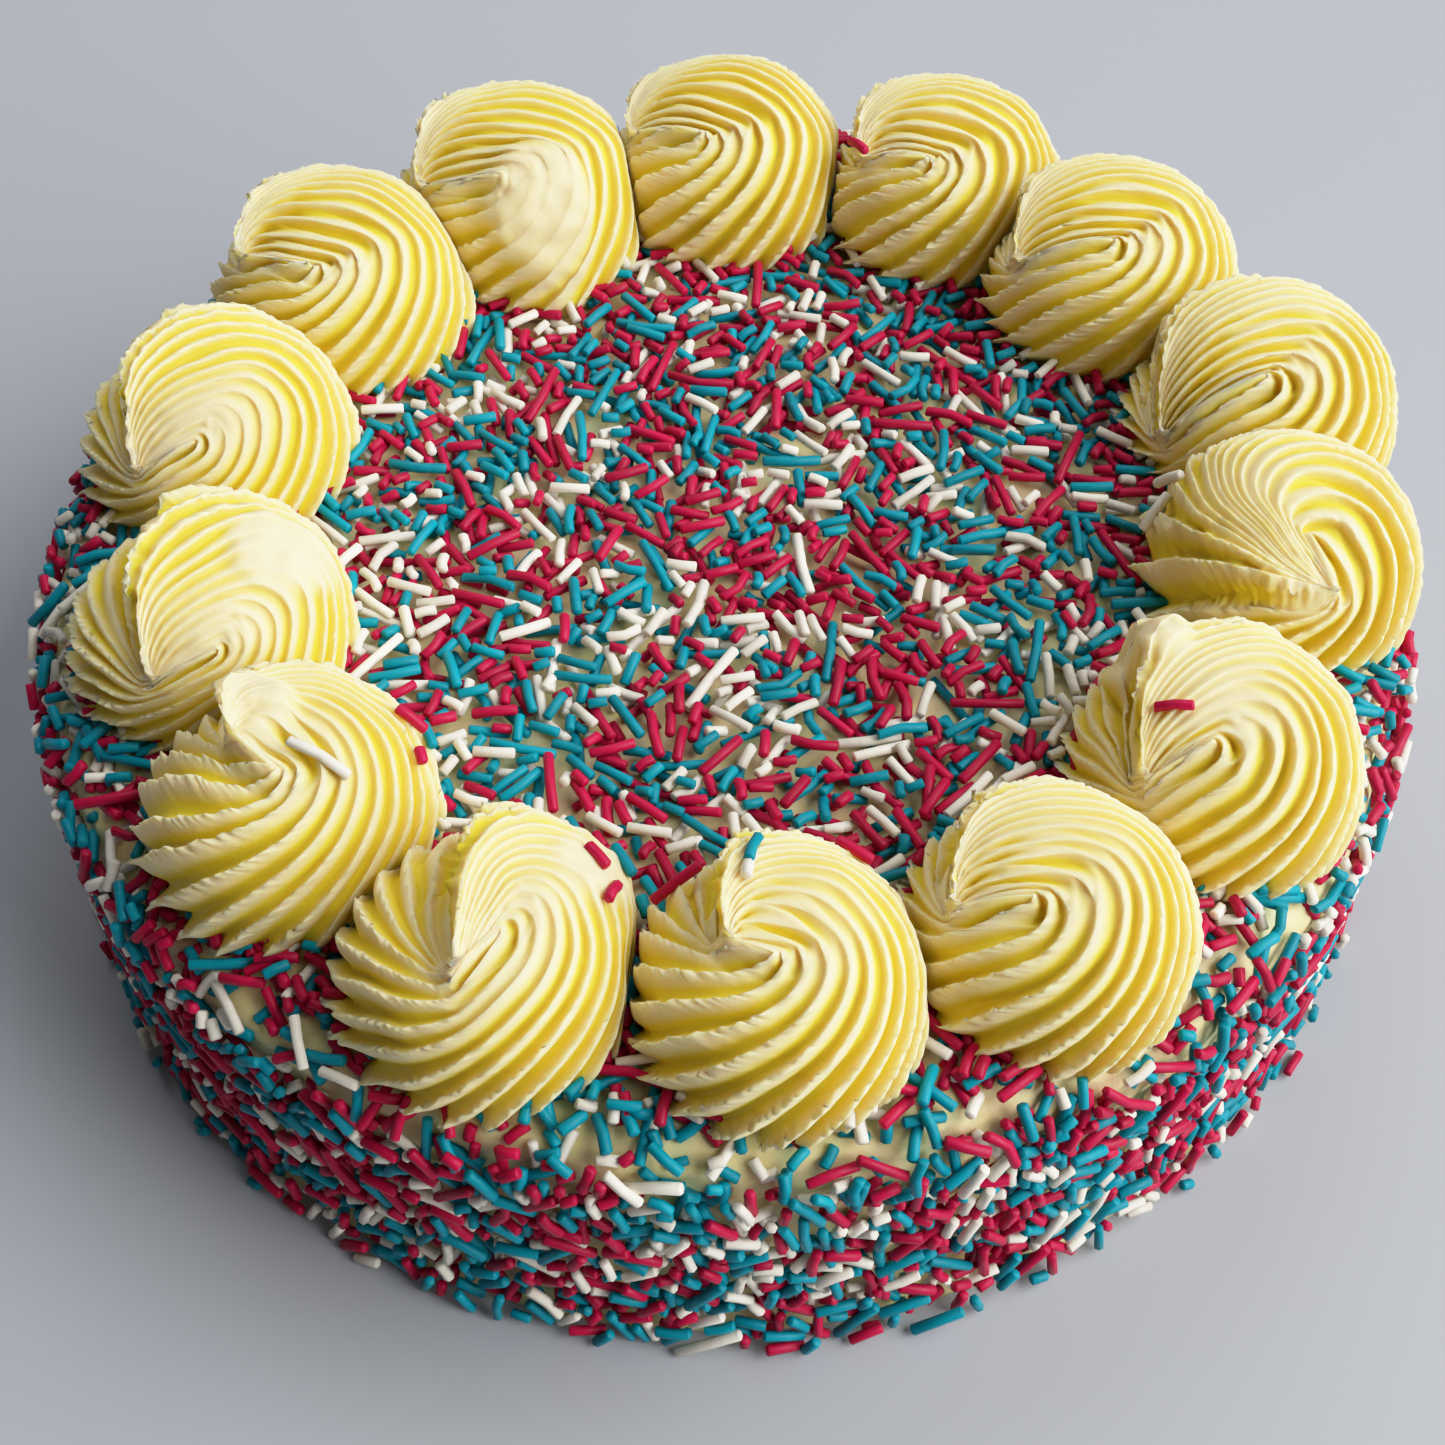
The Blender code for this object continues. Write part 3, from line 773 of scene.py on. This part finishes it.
def stray_strands(swirls, icing, thick):
    """The strands that fell on the swirls, each on the highest point of its swirl under its middle."""
    rows = []
    for number, x, y, heading, length, colour in STRAYS:
        about = swirl_middle(number)
        points = placed_swirl(number, swirls, icing)[0].reshape(-1, 3)
        near = points[np.hypot(points[:, 0] - about[0] - x, points[:, 1] - about[1] - y) < 0.9]
        place = near[np.argmax(near[:, 2])]
        normal = unit(np.array([x, y, 1.3 * (place[2] - icing.height / MM) - 4.0]))
        heading = math.radians(heading)
        along = np.array([math.cos(heading), math.sin(heading), 0.0])
        along = unit(along - (along @ normal) * normal)
        side = np.cross(normal, along)
        rows.append((place + 0.3 * thick * normal, along, side, length, 0.06 * length, thick, colour))
    return [np.array(column) for column in zip(*rows)]


def pressed(grid, number):
    """Squashes a swirl softly against a wavy wall halfway to each neighbour."""
    middle = swirl_middle(number)
    for other, sign in ((number - 1, -1), (number + 1, 1)):
        other = other % len(SWIRLS)
        towards = swirl_middle(other) - middle
        half = np.linalg.norm(towards) / 2
        way = towards / (2 * half)
        world = grid + (*middle, 0.0)
        pair = min(number, other) if abs(number - other) == 1 else len(SWIRLS) - 1
        wavy = 0.5 * sign * noise(world / 5, 200 + pair)
        room = half - grid[..., :2] @ way - 0.12 + wavy
        kept = (room + np.sqrt(room**2 + 1.4)) / 2
        grid[..., :2] += (room - kept)[..., None] * way
    return grid


def placed_swirl(number, sizes, icing):
    """The swirl's grid in the cake's own place, with its foot following the icing's rounded edge."""
    grid, valley = swirl_surface(number, sizes)
    grid = pressed(grid, number)
    middle = swirl_middle(number)
    radius, height, shoulder = body_mm(icing)
    out = np.hypot(grid[..., 0] + middle[0], grid[..., 1] + middle[1])
    past = np.clip(out - (radius - shoulder), 0, 0.8 * shoulder)
    drop = shoulder - np.sqrt(shoulder**2 - past**2)
    share = np.clip(1 - grid[..., 2] / (sizes.height / MM), 0, 1)
    grid[..., 2] -= (drop + FOOT_SINKS) * share**2
    grid += (*middle, height)
    return grid, valley


# --- Materials ---


class Nodes:
    """A material whose shader nodes are added and linked one by one."""

    def __init__(self, name):
        self.material = bpy.data.materials.new(name)
        self.material.use_nodes = True
        self.tree = self.material.node_tree
        self.place = self.add("TexCoord", {}, "Object")

    def add(self, kind, inputs, output, **settings):
        """Adds a node with these settings and inputs, and returns one of its outputs."""
        node = self.tree.nodes.new("ShaderNode" + kind)
        for key, value in settings.items():
            setattr(node, key, value)
        self.fill(node, inputs)
        return node.outputs[output]

    def fill(self, node, inputs):
        """Links each input to an output, or sets its value; a colour is made opaque."""
        for name, value in inputs.items():
            socket = node.inputs[name]
            if isinstance(value, bpy.types.NodeSocket):
                self.tree.links.new(value, socket)
            else:
                socket.default_value = (*value, 1.0) if socket.type == "RGBA" else value

    def finish(self, inputs):
        """Fills the inputs of the surface's own shader, and returns the material."""
        self.fill(self.tree.nodes["Principled BSDF"], inputs)
        return self.material

    def noise(self, scale, detail=2.0, roughness=0.5):
        """Noise with scale in cells a metre."""
        inputs = {"Vector": self.place, "Scale": scale, "Detail": detail, "Roughness": roughness}
        return self.add("TexNoise", inputs, "Fac")

    def attribute(self, name):
        return self.add("Attribute", {}, "Fac", attribute_name=name)

    def spread(self, value, low, high, to_low, to_high):
        """Maps a value from one range to another, held at the ends."""
        inputs = dict(enumerate((value, low, high, to_low, to_high)))
        return self.add("MapRange", inputs, "Result")

    def mix(self, share, first, second):
        inputs = {"Factor": share, "A": first, "B": second}
        return self.add("Mix", inputs, "Result", data_type="RGBA")

    def bump(self, height, strength, distance, **below):
        inputs = {"Height": height, "Strength": strength, "Distance": distance, **below}
        return self.add("Bump", inputs, "Normal")


def toned(colour, factor, tint=(1.0, 1.0, 1.0)):
    """A colour made darker or lighter and tinted."""
    return tuple(min(1.0, channel * factor * part) for channel, part in zip(colour, tint))


CREAM = {"Subsurface Radius": (1.0, 0.72, 0.26), "IOR": 1.46}


def buttercream_material(colours):
    """Piped buttercream: light scatters in it, its fold valleys carry painted shade (darker and deep yellow,
    standing in for shade and light bounced between the folds), and tiny pits dull its sheen.
    """
    made = Nodes("piped_buttercream")
    base = tuple(colours.buttercream)
    clouds = made.spread(made.noise(90, 3), 0.35, 0.68, 0, 1)
    cream = made.mix(clouds, toned(base, 0.97, (1, 0.985, 0.93)), toned(base, 1.03))
    # Painted shade: the share of the darker, deep yellow colour grows with how deep in a fold a point lies
    deep = made.spread(made.attribute("valley"), 0.1, 0.9, 0.0, 0.95)
    grain = made.bump(made.noise(1500, 3, 0.6), 0.35, 0.00012)
    return made.finish({
        # Base colour with painted shade and painted bounced yellow light in the fold valleys
        "Base Color": made.mix(deep, cream, toned(base, 0.94, (1, 0.90, 0.03))),
        "Roughness": made.spread(made.noise(420, 3), 0.3, 0.7, 0.42, 0.60),
        "Specular IOR Level": 0.35,
        "Subsurface Weight": 0.75,
        "Subsurface Scale": 0.0020,
        **CREAM,
        "Normal": made.bump(made.noise(520, 2), 0.35, 0.0003, Normal=grain),
    })


def icing_material(colours):
    """Spread icing: the same cream, stained green and pink where the strands' dye has bled into it."""
    made = Nodes("spread_icing")
    base = tuple(colours.icing)
    clouds = made.spread(made.noise(60, 3), 0.35, 0.65, 0, 1)
    cream = made.mix(clouds, toned(base, 0.94, (1, 0.98, 0.9)), toned(base, 1.04))
    wander = made.spread(made.noise(200, 3), 0.3, 0.7, 0.35, 1.0)
    bled = cream
    for name, most, stain in (("blue_dye", 0.7, (0.36, 0.56, 0.30)), ("pink_dye", 0.6, (0.58, 0.32, 0.24))):
        bled = made.mix(made.spread(made.attribute(name), 0.05, 1.2, 0.0, most), bled, stain)
    grain = made.bump(made.noise(1300, 3, 0.6), 0.4, 0.00015)
    return made.finish({
        "Base Color": made.mix(wander, cream, bled),
        "Roughness": made.spread(made.noise(350, 3), 0.3, 0.7, 0.36, 0.55),
        "Subsurface Weight": 0.45,
        "Subsurface Scale": 0.0014,
        **CREAM,
        "Normal": made.bump(made.noise(300, 3), 0.4, 0.0005, Normal=grain),
    })


def strand_material(name, colour):
    """Sugar strands: even colour that differs a little from strand to strand, with a soft sugar sheen."""
    made = Nodes(name)
    tone = made.mix(made.attribute("shade"), toned(colour, 0.78), toned(colour, 1.22))
    patches = made.spread(made.noise(700, 2), 0.4, 0.7, 0.0, 0.25)
    return made.finish({
        "Base Color": made.mix(patches, tone, toned(colour, 1.4, (1.0, 1.05, 1.05))),
        "Roughness": made.spread(made.noise(900, 2), 0.3, 0.7, 0.34, 0.52),
        "Specular IOR Level": 0.18,
        "Normal": made.bump(made.noise(1600, 2), 0.25, 0.0001),
    })


# --- Stage ---


def set_tone(view):
    """A straight view whose bright end bends over as a camera's does, to keep sunlit cream's colour."""
    view.view_transform = "Standard"
    view.use_curve_mapping = True
    curve = view.curve_mapping
    curve.white_level = (2.0, 2.0, 2.0)
    for light, shown in ((0.5, 0.5), (0.75, 0.69), (1.0, 0.81), (1.4, 0.92)):
        curve.curves[3].points.new(light / 2, shown)
    curve.curves[3].points[-1].location = (1.0, 0.97)
    curve.update()


def add_floor(scene):
    """A wide level sheet just under the cake."""
    half = 3000.0
    corners = [(half * x, half * y, -0.05) for x, y in ((-1, -1), (1, -1), (1, 1), (-1, 1))]
    floor = mesh_object("floor", corners, [(0, 1, 2, 3)])
    made = Nodes("pale_floor")
    base = tuple(scene.cake_colours.floor)
    colour = made.mix(made.noise(3, 2), toned(base, 0.99), toned(base, 1.01))
    floor.data.materials.append(made.finish({"Base Color": colour, "Roughness": 0.55}))


def add_light(name, place, size, power, colour):
    """A square area light aimed at the cake."""
    lamp = bpy.data.lights.new(name, "AREA")
    lamp.size, lamp.energy, lamp.color = size, power, colour
    made = added(name, lamp)
    made.location = place
    made.rotation_mode = "QUATERNION"
    made.rotation_quaternion = (Vector(place) - Vector((0, 0, 0.04))).to_track_quat("Z", "Y")


def add_camera(scene):
    """A 49 mm lens, 0.35 m from the middle of the cake's foot, looking down at 54.5 degrees."""
    lens = bpy.data.cameras.new("camera")
    lens.sensor_width, lens.lens = 36.0, 49.13
    lens.clip_start, lens.clip_end = 0.01, 20.0
    camera = added("camera", lens)
    distance, above, aim, roll = 0.34826, *map(math.radians, (54.53, 90.46, -0.13))
    place = Matrix.Translation((0, -distance * math.cos(above), distance * math.sin(above)))
    pitch = Matrix.Rotation(aim - above, 4, "X")
    camera.matrix_world = place @ pitch @ Matrix.Rotation(roll, 4, "Z")
    scene.camera = camera


# --- Operators ---


class CAKE_OT_strew_strands(Operator):
    """Drops sugar strands on the top and presses them on the wall"""

    bl_idname = "cake.strew_strands"
    bl_label = "Strew the sugar strands"

    def execute(self, context):
        scene = context.scene
        sizes, icing = scene.cake_strands, scene.cake_icing
        draw = np.random.RandomState(5)
        middles = np.array([swirl_middle(k) for k in range(len(SWIRLS))])
        given = (draw, sizes, icing, middles, scene.cake_swirls.radius / MM)
        strays = stray_strands(scene.cake_swirls, icing, sizes.thickness / MM)
        rods = (strands_on_top(*given), strands_on_wall(*given), strays)
        *columns, colours = (np.concatenate(column) for column in zip(*rods))
        for index, colour in enumerate(COLOURS):
            grid = strand_grid(*(column[colours == index] for column in columns))
            piece = strand_mesh(f"strands_{colour}", grid)
            shade = np.random.RandomState(60 + index).uniform(0, 1, len(grid))
            set_attribute(piece, "shade", np.repeat(shade, grid.shape[1] * grid.shape[2]))
            sugar = strand_material(f"sugar_{colour}", getattr(scene.cake_colours, colour))
            piece.data.materials.append(sugar)
            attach(piece, "root")
            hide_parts("cake")
        return {"FINISHED"}


class CAKE_OT_spread_icing(Operator):
    """Spreads the icing over the cake, stained where the strands lie"""

    bl_idname = "cake.spread_icing"
    bl_label = "Spread the icing"

    def execute(self, context):
        icing = context.scene.cake_icing
        grid, middle, angle, path = icing_surface(icing)
        piece = closed_tube("icing", grid, (0.0, 0.0, 0.0), middle)
        flat = icing.radius / MM - icing.shoulder / MM
        top, wall = FIELDS["top"], FIELDS["wall"]
        on_top = soft_step(path, flat + 3, flat - 1)
        top_cells = top.index(path * np.cos(angle), path * np.sin(angle))
        wall_cells = wall.index(angle * icing.radius / MM, path.max() - path)
        for index, colour in enumerate(COLOURS[:2]):
            dye = on_top * top.dye[index][top_cells] + (1 - on_top) * wall.dye[index][wall_cells]
            set_attribute(piece, f"{colour}_dye", np.append(dye.ravel(), [0.0, 0.0]))
        piece.data.materials.append(icing_material(context.scene.cake_colours))
        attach(piece, "root")
        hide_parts("cake")
        return {"FINISHED"}


class CAKE_OT_pipe_swirls(Operator):
    """Pipes the ring of buttercream swirls"""

    bl_idname = "cake.pipe_swirls"
    bl_label = "Pipe the swirls"

    def execute(self, context):
        scene = context.scene
        cream = buttercream_material(scene.cake_colours)
        for number in range(len(SWIRLS)):
            grid, valley = placed_swirl(number, scene.cake_swirls, scene.cake_icing)
            foot, before, last = (grid[row].mean(axis=0) for row in (0, -2, -1))
            tip = last + 0.4 * (last - before)
            piece = closed_tube(f"piped_swirl_{number + 1:02d}", grid, foot, tip)
            # Fold depth, which the cream's material turns into painted shade in the valleys
            set_attribute(piece, "valley", np.append(valley.ravel(), [0.0, 0.0]))
            piece.data.materials.append(cream)
            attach(piece, "root")
            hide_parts(f"swirl_{number + 1:02d}")
        return {"FINISHED"}


class CAKE_OT_set_stage(Operator):
    """Lays the floor and sets the lights and the camera"""

    bl_idname = "cake.set_stage"
    bl_label = "Set the stage"

    def execute(self, context):
        scene = context.scene
        add_floor(scene)
        for light in LIGHTS:
            add_light(*light)
        world = scene.world = bpy.data.worlds.new("studio")
        world.use_nodes = True
        background = world.node_tree.nodes["Background"].inputs
        background["Color"].default_value = (0.92, 0.92, 0.92, 1.0)
        background["Strength"].default_value = 0.09
        set_tone(scene.view_settings)
        add_camera(scene)
        return {"FINISHED"}


class CAKE_PT_panel(Panel):
    """Lists the cake's sizes, colours and steps."""

    bl_label = "Gender reveal cake"
    bl_idname = "CAKE_PT_panel"
    bl_space_type = "VIEW_3D"
    bl_region_type = "UI"
    bl_category = "Cake"

    def draw(self, context):
        for group in GROUPS:
            box = self.layout.box()
            settings = getattr(context.scene, group)
            for name in settings.__annotations__:
                box.prop(settings, name)
        for step in STEPS:
            self.layout.operator(step.bl_idname)


GROUPS = {
    "cake_icing": IcingSizes,
    "cake_swirls": SwirlSizes,
    "cake_strands": StrandSizes,
    "cake_colours": CakeColours,
}
STEPS = (CAKE_OT_strew_strands, CAKE_OT_spread_icing, CAKE_OT_pipe_swirls, CAKE_OT_set_stage)


def register():
    for group in (*GROUPS.values(), *STEPS, CAKE_PT_panel):
        bpy.utils.register_class(group)
    for name, group in GROUPS.items():
        setattr(bpy.types.Scene, name, PointerProperty(type=group))


def unregister():
    for name in GROUPS:
        delattr(bpy.types.Scene, name)
    for group in (CAKE_PT_panel, *reversed(STEPS), *GROUPS.values()):
        bpy.utils.unregister_class(group)


def main():
    """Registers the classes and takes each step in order."""
    register()
    bpy.ops.cake.strew_strands()
    bpy.ops.cake.spread_icing()
    bpy.ops.cake.pipe_swirls()
    bpy.ops.cake.set_stage()


if __name__ == "__main__":
    main()
